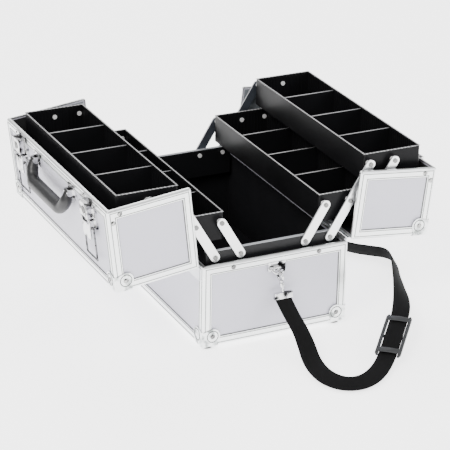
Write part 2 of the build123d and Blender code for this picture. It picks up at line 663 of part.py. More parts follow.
for latch, y in LATCHES:
    with BuildPart() as closed_cylinder:
        height = LATCH_BOX_N + CYLINDER_PROUD - CYLINDER_FLOOR - CYLINDER_FIT
        rod(lid_point(LOCK_S, y, CYLINDER_FLOOR + CYLINDER_FIT), (0, 0, 1), CYLINDER_R, height)
        slot_l, slot_w, slot_deep = KEY_SLOT
        lid_block(y, (LOCK_S - slot_l / 2, LOCK_S + slot_l / 2),
                  (LATCH_BOX_N - slot_deep, LATCH_BOX_N + CYLINDER_PROUD + PAST), slot_w / 2, Mode.SUBTRACT)
    with BuildPart() as lock_cylinder:
        add(lid_open * closed_cylinder.part)
    finish(lock_cylinder, f"{latch}_lock_cylinder")

    with BuildPart() as closed_lever:
        lid_block(y, (LEVER_S + LEVER_START, LEVER_END), LEVER_TOP, LEVER_HALF)
        fillet(closed_lever.edges().filter_by(Axis.Z).group_by(Axis.X)[0], LEVER_TIP_R)
        for ear in (-1, 1):
            cheek = y + ear * (LEVER_HALF - LEVER_EAR / 2)
            for s in (LEVER_S, LOOP_S):
                lid_rod(s, LEVER_N, cheek - LEVER_EAR / 2, cheek + LEVER_EAR / 2, LEVER_EAR_R)
            lid_block(cheek, (LEVER_S, LOOP_S), (LEVER_N - LEVER_EAR_R, LEVER_TOP[1]), LEVER_EAR / 2)
        pin_half = LEVER_HALF + CHEEK_GAP + CHEEK_T
        lid_rod(LEVER_S, LEVER_N, y - pin_half, y + pin_half, LEVER_PIN_R)
        loop_end = LEVER_HALF - LEVER_EAR - LOOP_END
        for ear in (-1, 1):
            lid_rod(LOOP_S, LEVER_N, y + ear * (loop_end - LOOP_BORE_PAST), y + ear * (LEVER_HALF + PAST),
                    LOOP_WIRE_R + RUN_FIT, Mode.SUBTRACT)
    with BuildPart() as latch_lever:
        add(lid_open * closed_lever.part)
    finish(latch_lever, f"{latch}_latch_lever")

    with BuildPart() as closed_loop:
        for ear in (-1, 1):
            lid_rod(LOOP_S, LEVER_N, y + ear * loop_end, y + ear * LOOP_HALF, LOOP_WIRE_R)
            rod(lid_point(LOOP_S, y + ear * LOOP_HALF, LEVER_N), (-1, 0, 0), LOOP_WIRE_R, LOOP_REACH)
            for s in (LOOP_S, LOOP_S + LOOP_REACH):
                with Locations(lid_point(s, y + ear * LOOP_HALF, LEVER_N)):
                    Sphere(LOOP_WIRE_R)
        lid_rod(LOOP_S + LOOP_REACH, LEVER_N, y - LOOP_HALF, y + LOOP_HALF, LOOP_WIRE_R)
    with BuildPart() as latch_loop:
        add(lid_open * closed_loop.part)
    finish(latch_loop, f"{latch}_latch_loop")

with BuildPart() as closed_catches:
    for latch, y in LATCHES:
        plate_s = (-CATCH_PLATE[0], -CATCH_PLATE[1])
        lid_block(y, plate_s, (SEAT, LATCH_PLATE_T), CATCH_HALF + CATCH_MARGIN)
        lid_block(y, (-SEAM_GAP - RAIL_W - PAD_GAP, plate_s[1]), (PAD_N, LATCH_PLATE_T),
                  CATCH_HALF + CATCH_MARGIN)
        lid_block(y, (-CATCH_WALL[0], -CATCH_WALL[1]), (FOOTING, CATCH_LIP[1]), CATCH_HALF)
        lid_block(y, (-CATCH_WALL[0], -CATCH_REACH), CATCH_LIP, CATCH_HALF)
with BuildPart() as latch_catches:
    add(swing(1, OPEN_RIGHT) * closed_catches.part)
finish(latch_catches, "latch_catches")


# ---------------------------------------------------------------- strap


def ring_place(end):
    """The strap ring's straight bar along x, its bow hanging outwards and down."""
    lean = radians(RING_LEAN)
    out = (0, end * sin(lean), -cos(lean))
    return Plane(origin=(0, end * (HALF_L + RING_OUT), RING_Z), x_dir=(1, 0, 0), z_dir=(0, -out[2], out[1]))


def ring_bottom(end):
    lean = radians(RING_LEAN)
    return Vector(0, end * (HALF_L + RING_OUT + RING_R * sin(lean)), RING_Z - RING_R * cos(lean))


def clamp_top(end):
    start = Vector(*STRAP_ROUTE[0]) if end < 0 else Vector(*STRAP_ROUTE[-1])
    return start + Vector(0, 0, CLAMP[2] + 2 * CLAMP_GAP)


with BuildPart() as strap_ring_plates:
    for end in (-1, 1):
        wide, high, thick = RING_PLATE
        face = end * (HALF_L + GLUE)
        block((-wide / 2, min(face, face + end * thick), RING_Z - high / 2),
              (wide / 2, max(face, face + end * thick), RING_Z + high / 2))
        rod((-RING_TUBE_L / 2, end * (HALF_L + RING_OUT), RING_Z), (1, 0, 0), RING_TUBE_R, RING_TUBE_L)
        rod((-wide, end * (HALF_L + RING_OUT), RING_Z), (1, 0, 0), RING_WIRE_R + RUN_FIT, 2 * wide,
            Mode.SUBTRACT)
finish(strap_ring_plates, "strap_ring_plates")

for name, end in (("near", -1), ("far", 1)):
    place = ring_place(end)
    with BuildPart() as strap_ring:
        with Locations(place.location):
            Torus(RING_R, RING_WIRE_R, major_angle=180, align=None)
        rod((-RING_R, end * (HALF_L + RING_OUT), RING_Z), (1, 0, 0), RING_WIRE_R, 2 * RING_R)
        for x in (-1, 1):
            with Locations((x * RING_R, end * (HALF_L + RING_OUT), RING_Z)):
                Sphere(RING_WIRE_R)
    finish(strap_ring, f"{name}_strap_ring")


def hook_plane(end):
    """The hook's bend lies in this plane; local x points down its shank to the strap clamp."""
    bottom = ring_bottom(end)
    down = (clamp_top(end) - bottom).normalized()
    middle = bottom + down * HOOK_SLACK
    across = Vector(0, end, 0).cross(down).normalized()
    return Plane(origin=middle, x_dir=down, z_dir=across)


def on_hook(angle):
    return (HOOK_R * cos(radians(angle)), HOOK_R * sin(radians(angle)), 0)


MOUTH_END = 360 - HOOK_MOUTH

with BuildPart() as snap_hooks:
    for end in (-1, 1):
        place = hook_plane(end)
        with Locations(place.location):
            Torus(HOOK_R, HOOK_WIRE_R, major_angle=MOUTH_END, align=None)
        for angle in (0, MOUTH_END):
            with Locations(place.location * Location(on_hook(angle))):
                Sphere(HOOK_WIRE_R)
        shank = clamp_top(end) - place.origin
        rod(place.origin + place.x_dir * HOOK_R, place.x_dir, HOOK_WIRE_R, shank.length - HOOK_R - SHANK_SHORT)
        barrel = place.origin + place.x_dir * (HOOK_R + SWIVEL_PAST)
        with Locations(Plane(origin=barrel, z_dir=place.x_dir).location):
            Cylinder(*SWIVEL, align=BOTTOM)
finish(snap_hooks, "snap_hooks")

for name, end in (("near", -1), ("far", 1)):
    with BuildPart() as hook_gate:
        place = hook_plane(end)
        start = place.from_local_coords(Vector(*on_hook(MOUTH_END)))
        stop = place.from_local_coords(Vector(*on_hook(360)))
        along = (stop - start).normalized()
        clear = HOOK_WIRE_R + GATE_GAP + GATE_WIRE_R
        length = (stop - start).length - 2 * clear
        rod(start + along * clear, along, GATE_WIRE_R, length)
        for point in (start + along * clear, stop - along * clear):
            with Locations(Location(point)):
                Sphere(GATE_WIRE_R)
    finish(hook_gate, f"{name}_hook_gate")

with BuildPart() as strap_end_clamps:
    for end in (-1, 1):
        top = clamp_top(end)
        with Locations(Location(top - Vector(0, 0, CLAMP[2] / 2 + CLAMP_GAP))):
            Box(CLAMP[0], CLAMP[1], CLAMP[2])
finish(strap_end_clamps, "strap_end_clamps")


def bend_radii(points):
    """An arc for each corner that uses up to the same share of the shorter run beside it."""
    radii = []
    for before, corner, after in zip(points, points[1:], points[2:]):
        run_in = Vector(*corner) - Vector(*before)
        run_out = Vector(*after) - Vector(*corner)
        turn = radians(run_in.get_angle(run_out))
        radii.append(BEND_SHARE * min(run_in.length, run_out.length) / tan(turn / 2))
    return radii


with BuildPart() as shoulder_strap:
    radii = bend_radii(STRAP_ROUTE)
    with BuildLine():
        route = FilletPolyline(*STRAP_ROUTE, radius=radii)
    with BuildSketch(Plane(origin=route @ 0, z_dir=route % 0)):
        Circle(STRAP_R)
    sweep(path=route)
finish(shoulder_strap, "shoulder_strap")
print("strap bend radii:", [round(r, 1) for r in radii])
print("strap length:", round(sum(edge.length for edge in route.edges()), 1))

with BuildPart() as strap_slider:
    low = Vector(*STRAP_ROUTE[SLIDER_LOW])
    high = Vector(*STRAP_ROUTE[SLIDER_HIGH])
    along = (high - low).normalized()
    level = Vector(0, 0, 1).cross(along).normalized()
    place = Plane(origin=(low + high) / 2, x_dir=level, z_dir=along.cross(level))
    wide, length, thick = SLIDER
    with BuildSketch(place):
        RectangleRounded(wide, length, SLIDER_CORNER)
        Rectangle(wide - 2 * SLIDER_RIM, length - 2 * SLIDER_RIM, mode=Mode.SUBTRACT)
    extrude(amount=thick / 2, both=True)
    for y in (-SLIDER_BAR_AT, SLIDER_BAR_AT):
        with Locations(place.location * Location((0, y, 0), (0, 90, 0))):
            Cylinder(SLIDER_BAR_R, wide - 2 * SLIDER_RIM + SLIDER_BAR_BITE)
finish(strap_slider, "strap_slider")
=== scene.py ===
import bpy
import bmesh
import json
from math import cos, pi, radians, sin
from mathutils import Matrix, Vector


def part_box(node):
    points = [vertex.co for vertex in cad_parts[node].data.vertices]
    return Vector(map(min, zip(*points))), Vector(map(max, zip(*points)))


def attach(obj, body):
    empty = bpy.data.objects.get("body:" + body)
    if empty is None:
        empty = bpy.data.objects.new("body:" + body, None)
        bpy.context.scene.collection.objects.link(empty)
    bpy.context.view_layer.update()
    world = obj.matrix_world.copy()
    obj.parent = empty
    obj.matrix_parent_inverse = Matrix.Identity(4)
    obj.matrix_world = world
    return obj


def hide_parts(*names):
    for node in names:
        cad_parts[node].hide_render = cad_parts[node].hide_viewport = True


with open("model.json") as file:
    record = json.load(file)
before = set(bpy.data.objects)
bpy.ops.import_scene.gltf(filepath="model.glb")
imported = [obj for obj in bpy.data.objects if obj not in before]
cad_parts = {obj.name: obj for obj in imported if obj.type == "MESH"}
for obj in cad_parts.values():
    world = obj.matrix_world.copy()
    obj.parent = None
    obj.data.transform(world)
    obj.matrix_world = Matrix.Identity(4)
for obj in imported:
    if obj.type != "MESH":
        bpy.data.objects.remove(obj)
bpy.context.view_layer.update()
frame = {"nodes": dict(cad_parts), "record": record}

nodes = frame["nodes"]
MM = 0.001


# ---------------------------------------------------------------- camera

CAMERA_AT = (-1200.15, -2472.90, 1297.02)
YAW, PITCH, ROLL = 0.4557, 0.4146, 0.0182
ahead = Vector((sin(YAW) * cos(PITCH), cos(YAW) * cos(PITCH), -sin(PITCH)))
across = Vector((cos(YAW), -sin(YAW), 0))
above = across.cross(ahead)
right = across * cos(ROLL) + above * sin(ROLL)
up = above * cos(ROLL) - across * sin(ROLL)
camera = bpy.data.objects.new("camera", bpy.data.cameras.new("camera"))
camera.data.lens = 167.6
camera.data.sensor_width = 36
camera.data.clip_end = 20
turn = Matrix((right, up, -ahead)).transposed().to_4x4()
camera.matrix_world = Matrix.Translation(Vector(CAMERA_AT) * MM) @ turn
bpy.context.scene.collection.objects.link(camera)
bpy.context.scene.camera = camera


# ---------------------------------------------------------------- mesh helpers

Z_AXIS = Vector((0, 0, 1))
MITRE_LIMIT = 0.5
BEAD_STEPS = 8
# Share of the radius and share of the height, from a rivet head's rim to its top.
DOME_SECTIONS = ((1.0, 0.0), (0.96, 0.45), (0.75, 0.82), (0.4, 0.98), (0.08, 1.0))


def add_piece(name, mesh, body, smooth=True):
    """A piece made of a mesh, on the body it rides with."""
    piece = bpy.data.objects.new(name, mesh)
    bpy.context.scene.collection.objects.link(piece)
    for face in mesh.polygons:
        face.use_smooth = smooth
    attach(piece, body)
    return piece


def mesh_from(name, build):
    """A mesh filled by a function that is given an empty bmesh."""
    mesh = bpy.data.meshes.new(name)
    work = bmesh.new()
    build(work)
    bmesh.ops.recalc_face_normals(work, faces=work.faces)
    work.to_mesh(mesh)
    work.free()
    return mesh


def add_built(name, build, body, material, smooth=True):
    """A piece whose mesh is filled by a function, with its material."""
    piece = add_piece(name, mesh_from(name, build), body, smooth)
    piece.data.materials.append(material)
    return piece


def skin_rings(work, rings, closed):
    """Joins rings of points into a skin, with flat ends unless it closes on itself."""
    made = [[work.verts.new(point) for point in ring] for ring in rings]
    count = len(made[0])
    pairs = list(zip(made, made[1:])) + ([(made[-1], made[0])] if closed else [])
    for first, second in pairs:
        for k in range(count):
            work.faces.new((first[k], first[(k + 1) % count], second[(k + 1) % count], second[k]))
    if not closed:
        work.faces.new(made[0])
        work.faces.new(made[-1][::-1])


def around(first, second, share):
    """A direction that goes round once from the first axis through the second."""
    return first * cos(2 * pi * share) + second * sin(2 * pi * share)


def bead(work, points, width, height, closed=False):
    """A low rounded bead with its flat side down, along points that share one height."""
    rings = []
    last = len(points) - 1
    for k, point in enumerate(points):
        before = points[k - 1] if k or closed else point
        after = points[(k + 1) % len(points)] if k < last or closed else point
        onward = (after - point).normalized()
        side = Z_AXIS.cross(onward + (point - before).normalized()).normalized()
        stretch = 1.0
        if before != point and after != point:
            stretch = 1 / max(MITRE_LIMIT, side.dot(Z_AXIS.cross(onward)))
        ring = []
        for step in range(BEAD_STEPS + 1):
            angle = pi * step / BEAD_STEPS
            ring.append(point + side * (cos(angle) * width / 2 * stretch)
                        + Vector((0, 0, sin(angle) * height)))
        rings.append(ring)
    skin_rings(work, rings, closed)


def dome(work, middle, normal, radius, height, sides=20):
    """A low rivet head."""
    normal = Vector(normal).normalized()
    first = normal.orthogonal().normalized()
    second = normal.cross(first)
    rings = []
    for share, lift in DOME_SECTIONS:
        rings.append([middle + around(first, second, k / sides) * radius * share
                      + normal * (height * lift) for k in range(sides)])
    skin_rings(work, rings, False)


# ---------------------------------------------------------------- shoulder strap

STRAP_ROUTE = [
    (6, -196, 56.4), (8, -214, 41.4), (12, -237, 25.4), (11, -259, 11.4), (3, -289, 3.4),
    (0, -327, 1.4), (10, -355, 1.4), (31, -366, 1.4), (59, -359, 2.4), (93, -329, 3.4),
    (124, -295, 17.4), (162, -250, 27.4), (190, -204, 24.4), (219, -147, 17.4), (246, -91, 10.4),
    (267, -50, 5.4), (268, -26, 5.4), (249, -10, 5.4), (226, 12, 5.4), (170, 110, 5.4),
    (125, 190, 5.4), (60, 225, 8.4), (20, 216, 23.4), (0, 197, 54.4),
]
# How far the webbing turns from lying flat towards standing on its edge, in degrees, at each point of
# the route.
STRAP_TURN = [0, 0, 0, 6, 16, 20, 20, 18, 14, 4, 0, 0, 20, 44, 58, 61, 61, 61, 61, 61, 61, 58, 35, 0]
STRAP_W = 25 * MM
STRAP_T = 2 * MM
STRAP_SMOOTH = 14        # line points between two of the route's
SELVEDGE_STEPS = 4


def strap_path():
    """Points along the strap's smooth line."""
    curve = bpy.data.curves.new("strap_line", "CURVE")
    curve.dimensions = "3D"
    spline = curve.splines.new("NURBS")
    spline.points.add(len(STRAP_ROUTE) - 1)
    for point, place in zip(spline.points, STRAP_ROUTE):
        point.co = (*[v * MM for v in place], 1)
    spline.order_u = 3
    spline.use_endpoint_u = True
    curve.resolution_u = STRAP_SMOOTH
    line = bpy.data.objects.new("strap_line", curve)
    mesh = bpy.data.meshes.new_from_object(line)
    points = [vertex.co.copy() for vertex in mesh.vertices]
    bpy.data.objects.remove(line)
    bpy.data.meshes.remove(mesh)
    return points


def strap_section(point, along, turn, half_w, half_t):
    """One ring of the webbing: flat faces and rounded selvedges."""
    level = Z_AXIS.cross(along).normalized()
    upright = along.cross(level).normalized()
    wide = level * cos(turn) + upright * sin(turn)
    thick = along.cross(wide).normalized()
    ring = []
    for end in (1, -1):
        for step in range(SELVEDGE_STEPS + 1):
            angle = -pi / 2 + pi * step / SELVEDGE_STEPS
            out = half_w - half_t + half_t * cos(angle)
            ring.append(point + wide * (end * out) + thick * (end * half_t * sin(angle)))
    return ring


def make_strap():
    """The webbing's skin along its line, with a weave map in metres: run, then width."""
    path = strap_path()
    rings = []
    runs = []
    travelled = 0.0
    for k, point in enumerate(path):
        if k:
            travelled += (point - path[k - 1]).length
        along = (path[min(k + 1, len(path) - 1)] - path[max(k - 1, 0)]).normalized()
        place = k / (len(path) - 1) * (len(STRAP_TURN) - 1)
        low = min(int(place), len(STRAP_TURN) - 2)
        turn = STRAP_TURN[low] + (STRAP_TURN[low + 1] - STRAP_TURN[low]) * (place - low)
        rings.append(strap_section(point, along, radians(turn), STRAP_W / 2, STRAP_T / 2))
        runs.append(travelled)

    def build(work):
        skin_rings(work, rings, False)
        work.verts.ensure_lookup_table()
        weave = work.loops.layers.uv.new("weave")
        count = len(rings[0])
        widths = [1.0 if k <= SELVEDGE_STEPS else 0.0 for k in range(count)]
        for face in work.faces:
            for loop in face.loops:
                ring_number, place = divmod(loop.vert.index, count)
                loop[weave].uv = (runs[ring_number], widths[place] * STRAP_W)

    mesh = mesh_from("shoulder_strap_webbing", build)
    strap = add_piece("shoulder_strap_webbing", mesh, "case_base")
    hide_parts("shoulder_strap")
    return strap


webbing = make_strap()


# ---------------------------------------------------------------- finishes

RIB_PITCH = 5.5 * MM
LAMINATE_WEAVE = 1.6 * MM
ARM_SHADE_FROM = 2.2 * MM    # in from the arms' outer faces, where the painted shade begins
ARM_SHADE_WAVER = 0.2 * MM
INNER_HEADS_FROM = 7 * MM      # in from the collars' outer faces
FILM_DEPTH = 1.5 * MM          # in from the end linings' outer faces
FILM_REACH = 0.214             # the film ends this far from the case's middle
FILM_FADE = 60                 # per metre
COLLAR_SHEEN_BAND = 0.6 * MM          # down from the collars' top edge, the band of painted highlight
WEBBING_RIB = 2.4 * MM
WEBBING_THREAD = 1.6 * MM
HERRINGBONE = 3.125 * MM


class Signal:
    """A shader socket that takes part in arithmetic."""

    def __init__(self, finish, socket):
        self.finish = finish
        self.socket = socket

    def math(self, kind, *others):
        return self.finish.node("ShaderNodeMath", {"operation": kind}, dict(enumerate((self, *others))))

    def __add__(self, other):
        return self.math("ADD", other)

    def __radd__(self, other):
        return self.math("ADD", other)

    def __sub__(self, other):
        return self.math("SUBTRACT", other)

    def __rsub__(self, other):
        return self.finish.node("ShaderNodeMath", {"operation": "SUBTRACT"}, {0: other, 1: self})

    def __mul__(self, other):
        return self.math("MULTIPLY", other)

    def __rmul__(self, other):
        return self.math("MULTIPLY", other)

    def __gt__(self, other):
        return self.math("GREATER_THAN", other)

    def __lt__(self, other):
        return self.math("LESS_THAN", other)


class Finish:
    """A material of the case, or the studio's surround, made of nodes."""

    def __init__(self, name, surround=False):
        kind = bpy.data.worlds if surround else bpy.data.materials
        self.material = kind.new(name)
        self.material.use_nodes = True
        self.tree = self.material.node_tree
        self.shader = self.tree.nodes["Background" if surround else "Principled BSDF"]

    def connect(self, socket, value):
        if isinstance(value, Signal):
            self.tree.links.new(value.socket, socket)
        elif socket.type == "RGBA" and len(value) == 3:
            socket.default_value = (*value, 1)
        else:
            socket.default_value = value

    def node(self, kind, settings, inputs, out=0):
        made = self.tree.nodes.new(kind)
        for key, value in settings.items():
            if key == "stops":
                ramp = made.color_ramp
                while len(ramp.elements) < len(value):
                    ramp.elements.new(0.5)
                for element, (place, shade) in zip(ramp.elements, value):
                    element.position = place
                    element.color = (*shade, 1)
            else:
                setattr(made, key, value)
        for key, value in inputs.items():
            self.connect(made.inputs[key], value)
        return Signal(self, made.outputs[out])

    def place(self, out="Object"):
        return self.node("ShaderNodeTexCoord", {}, {}, out)

    def split(self, vector):
        return [self.node("ShaderNodeSeparateXYZ", {}, {"Vector": vector}, axis) for axis in "XYZ"]

    def noise(self, scale, detail=3.0, stretch=(1, 1, 1), out="Fac"):
        spread = self.node("ShaderNodeMapping", {}, {"Vector": self.place(), "Scale": stretch})
        inputs = {"Vector": spread, "Scale": scale, "Detail": detail}
        return self.node("ShaderNodeTexNoise", {}, inputs, out)

    def blend(self, share, first, second):
        made = self.tree.nodes.new("ShaderNodeMix")
        made.data_type = "RGBA"
        colours = [socket for socket in made.inputs if socket.type == "RGBA"]
        self.connect(made.inputs[0], share)
        self.connect(colours[0], first)
        self.connect(colours[1], second)
        return Signal(self, [socket for socket in made.outputs if socket.type == "RGBA"][0])

    def relief(self, height, depth, strength=1.0):
        inputs = {"Height": height, "Distance": depth, "Strength": strength}
        return self.node("ShaderNodeBump", {}, inputs, "Normal")

    def done(self, **sockets):
        for key, value in sockets.items():
            self.connect(self.shader.inputs[key.replace("_", " ")], value)
        return self.material


def anodised(name, dark, light, rough):
    """Drawn metal: faint cloudiness, fine draw lines and light handling wear."""
    f = Finish(name)
    cloud = f.noise(22, 4)
    drawn = f.noise(420, 2)
    wear = f.noise(95, 5)
    colour = f.blend(cloud, dark, light)
    return f.done(Base_Color=colour, Metallic=0.9, Roughness=rough + 0.10 * wear,
                  Normal=f.relief(drawn, 0.00002, 0.3))


def plated(name, dark, bright, rough, patch=130):
    """Bright plating with painted reflection: darker patches stand in for dark surroundings reflected in
    it.
    """
    f = Finish(name)
    patches = f.noise(patch, 3)
    smear = f.noise(240, 4)
    middle = tuple((a + b) / 2 for a, b in zip(dark, bright))
    # Painted reflection: the dark stops colour patches of the plating as if it mirrored dark surroundings.
    shade = f.node("ShaderNodeValToRGB", {"stops": [(0.38, dark), (0.45, middle), (0.50, bright)]},
                   {"Fac": patches}, "Color")
    return f.done(Base_Color=shade, Metallic=1.0, Roughness=rough + 0.12 * smear,
                  Normal=f.relief(f.noise(60, 2), 0.00005, 0.3))


def arm_strip():
    """Arm strips: bright outside, with painted shade on the faces turned to the trays, standing in for the
    dark inside of the case that they face.
    """
    f = Finish("arm_strip")
    y = f.split(f.place())[1]
    inner_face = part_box("left_long_arms")[1][1] - ARM_SHADE_FROM
    # Painted shade: the arms' faces nearer the middle than this are coloured dark.
    inside = f.noise(60, 3) * ARM_SHADE_WAVER + y.math("ABSOLUTE") < inner_face
    wear = f.noise(95, 5)
    bright = f.blend(wear, (0.86, 0.87, 0.87), (0.95, 0.95, 0.95))
    painted_shade = f.blend(wear, (0.045, 0.052, 0.066), (0.10, 0.115, 0.14))
    return f.done(Base_Color=f.blend(inside, bright, painted_shade), Metallic=0.9 - 0.5 * inside,
                  Roughness=0.30 + 0.10 * wear, Normal=f.relief(f.noise(420, 2), 0.00002, 0.3))


def pivot_heads():
    """Pivot rivets: steel heads over the arms with painted reflection in dark patches, white-plated heads
    inside the trays and the case.
    """
    f = Finish("pivot_rivet_heads")
    y = f.split(f.place())[1]
    inside = y.math("ABSOLUTE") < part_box("end_collars")[1][1] - INNER_HEADS_FROM
    patches = f.noise(420, 3)
    # Painted reflection: the steel heads' dark patches stand in for dark surroundings mirrored in them.
    steel = f.blend(patches, (0.02, 0.02, 0.02), (0.30, 0.30, 0.295))
    return f.done(Base_Color=f.blend(inside, steel, (0.95, 0.95, 0.95)), Metallic=0.95 - 0.75 * inside,
                  Roughness=0.22 + 0.1 * patches, Normal=f.relief(patches, 0.00005, 0.3))


def laminate():
    """Pearly board facing with a fine cross weave and a light orange peel."""
    f = Finish("lid_board_laminate")
    x, y, z = f.split(f.place())
    pitch = 2 * pi / LAMINATE_WEAVE
    warp = ((x + y) * pitch + z * pitch).math("SINE")
    weft = ((x + y) * pitch - z * pitch).math("SINE")
    weave = warp * weft * 0.5 + 0.5
    cloud = f.noise(14, 3)
    fleck = f.noise(900, 2)
    share = weave * 0.25 + fleck * 0.35 + cloud * 0.4
    return f.done(Base_Color=f.blend(share, (0.47, 0.465, 0.53), (0.62, 0.615, 0.68)), Metallic=0.1,
                  Roughness=0.42 + 0.12 * fleck, Normal=f.relief(weave * 0.7 + fleck * 0.3, 0.00005, 0.5))


def tray_plastic():
    """Moulded black plastic, glossy on its high spots, with dust-dull patches."""
    f = Finish("tray_plastic_black")
    grain = f.noise(1500, 2)
    dull = f.noise(18, 4)
    f.shader.inputs["Specular IOR Level"].default_value = 0.09
    return f.done(Base_Color=f.blend(dull, (0.004, 0.004, 0.0045), (0.009, 0.009, 0.010)),
                  Roughness=0.26 + 0.16 * dull,
                  Normal=f.relief(grain * 0.3 + f.noise(30, 2) * 0.7, 0.00025, 0.35))


def lining_cloth():
    """Short flocked lining."""
    f = Finish("lining_flock")
    nap = f.noise(2200, 3)
    crush = f.noise(24, 4)
    f.shader.inputs["Specular IOR Level"].default_value = 0.12
    return f.done(Base_Color=f.blend(crush, (0.004, 0.004, 0.005), (0.011, 0.011, 0.013)),
                  Roughness=0.86 + 0.1 * nap, Normal=f.relief(nap * 0.6 + crush * 0.4, 0.0003, 0.6))


def lining_film():
    """Black lining inside the lids, with wrinkled blue-grey film on the two end panels."""
    f = Finish("lid_lining_film")
    x, y = f.split(f.place())[:2]
    ends = y.math("ABSOLUTE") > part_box("base_lining")[1][1] - FILM_DEPTH
    wrinkle = f.noise(38, 5, (1, 0.35, 1))
    cloud = f.noise(9, 3)
    grey = f.blend(cloud, (0.13, 0.145, 0.16), (0.36, 0.39, 0.42))
    inboard = (FILM_REACH - x.math("ABSOLUTE")) * FILM_FADE
    film = ends * inboard.math("MINIMUM", 1.0).math("MAXIMUM", 0.0)
    return f.done(Base_Color=f.blend(film, (0.007, 0.007, 0.008), grey), Metallic=film * 0.35,
                  Roughness=0.7 - film * 0.4 + 0.15 * wrinkle, Normal=f.relief(wrinkle, 0.0014, 0.8))


def collar_board():
    """Black board with a painted highlight: a grey band along its top edge stands in for sheen."""
    f = Finish("collar_board_black")
    z = f.split(f.place())[2]
    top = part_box("end_collars")[1][2]
    grain = f.noise(1100, 3)
    # Painted highlight: the band at the top is coloured grey, standing in for sheen on the collar's edge.
    edge = z > top - COLLAR_SHEEN_BAND
    f.shader.inputs["Specular IOR Level"].default_value = 0.3
    return f.done(Base_Color=f.blend(edge, (0.005, 0.005, 0.006), (0.30, 0.31, 0.33)),
                  Roughness=0.38 + 0.2 * grain, Normal=f.relief(grain, 0.00012, 0.6))


def woven_webbing():
    """Black webbing: cross ribs, a herringbone across the width and fuzzed threads."""
    f = Finish("strap_webbing_black")
    along, over = f.split(f.place("UV"))[:2]
    rib = (along * (2 * pi / WEBBING_RIB)).math("SINE")
    zigzag = over.math("PINGPONG", HERRINGBONE) * (2 * pi / WEBBING_THREAD)
    slant = (zigzag + along * (2 * pi / WEBBING_RIB)).math("SINE")
    thread = rib * 0.35 + slant * 0.65
    fuzz = f.noise(1800, 3)
    share = thread * 0.3 + fuzz * 0.4 + 0.25
    f.shader.inputs["Specular IOR Level"].default_value = 0.12
    return f.done(Base_Color=f.blend(share, (0.002, 0.002, 0.002), (0.013, 0.013, 0.014)),
                  Roughness=0.78 + 0.15 * fuzz, Normal=f.relief(thread * 0.8 + fuzz * 0.2, 0.0003, 0.8))


def moulded(name, low, high, rough, grain_scale, depth):
    """Moulded plastic or rubber with a fine grain and rubbed patches."""
    f = Finish(name)
    grain = f.noise(grain_scale, 3)
    rubbed = f.noise(30, 4)
    return f.done(Base_Color=f.blend(rubbed, low, high), Roughness=rough + 0.14 * rubbed,
                  Normal=f.relief(grain, depth, 0.6))


def painted_rim_highlight():
    """Tray rims: black plastic with a painted highlight, grey on top, broken at the ends of the ribs."""
    f = Finish("tray_rim_painted_highlight")
    x, y = f.split(f.place())[:2]
    beat = ((x + y) * (2 * pi / RIB_PITCH)).math("SINE") * 0.5 + 0.5
    sheen_noise = f.noise(160, 4)
    # Painted highlight: this share lightens the rim's top towards grey.
    share = (beat * 0.55 + sheen_noise * 0.75 - 0.15).math("MINIMUM", 1.0).math("MAXIMUM", 0.0)
    return f.done(Base_Color=f.blend(share, (0.03, 0.03, 0.032), (0.55, 0.55, 0.56)),
                  Roughness=0.3 + 0.2 * sheen_noise, Normal=f.relief(beat, 0.0002, 0.4))


rail_metal = anodised("edge_extrusion_satin", (0.80, 0.82, 0.815), (0.90, 0.91, 0.91), 0.24)
arm_metal = arm_strip()
pivot_metal = pivot_heads()
rivet_metal = plated("rivet_head_steel", (0.03, 0.03, 0.03), (0.40, 0.40, 0.39), 0.22, 420)
# Edge ridges: their dark tone is painted shade, standing in for the shaded lines along the extrusions.
ridge_shade_metal = anodised("extrusion_ridge_shaded", (0.09, 0.10, 0.095), (0.24, 0.26, 0.25), 0.36)
rim_highlight_plastic = painted_rim_highlight()
# Divider tops: their grey is a painted highlight along the top edges.
divider_highlight_plastic = moulded("divider_top_painted_highlight", (0.24, 0.24, 0.25), (0.50, 0.50, 0.51), 0.24,
                          800, 0.00008)
# Gasket beads where the boards meet the extrusions: their dark grey is painted shadow of the gap there.
gasket = moulded("board_gasket_shadow_gap", (0.05, 0.052, 0.052), (0.13, 0.135, 0.135), 0.5, 900, 0.00005)
hinge_metal = anodised("hinge_leaf_steel", (0.50, 0.51, 0.53), (0.66, 0.67, 0.69), 0.26)
plate_metal = plated("fitting_plate_bright", (0.008, 0.008, 0.009), (0.70, 0.70, 0.71), 0.12, 85)
wire_metal = plated("loop_wire_dark", (0.006, 0.006, 0.006), (0.16, 0.16, 0.165), 0.18, 210)
lock_metal = plated("lock_cylinder_dark", (0.006, 0.006, 0.006), (0.07, 0.068, 0.065), 0.22, 300)
cap_metal = plated("corner_cap_bright", (0.26, 0.28, 0.275), (0.80, 0.82, 0.815), 0.20, 75)
# Cap rings: their dark tone is painted shade around the stamped ring.
cap_ring_shade_metal = anodised("cap_ring_shaded", (0.04, 0.045, 0.042), (0.13, 0.14, 0.135), 0.28)
facing = laminate()
black_plastic = tray_plastic()
flock = lining_cloth()
film = lining_film()
collar = collar_board()
webbing_cloth = woven_webbing()
grip_plastic = moulded("grip_plastic_black", (0.003, 0.003, 0.0035), (0.008, 0.008, 0.009), 0.36,
                       1300, 0.00012)
slider_plastic = moulded("slider_plastic_grey", (0.010, 0.011, 0.012), (0.022, 0.024, 0.026), 0.46,
                         1400, 0.00010)
foot_rubber = moulded("foot_rubber_black", (0.016, 0.016, 0.016), (0.034, 0.034, 0.034), 0.70,
                      900, 0.0002)

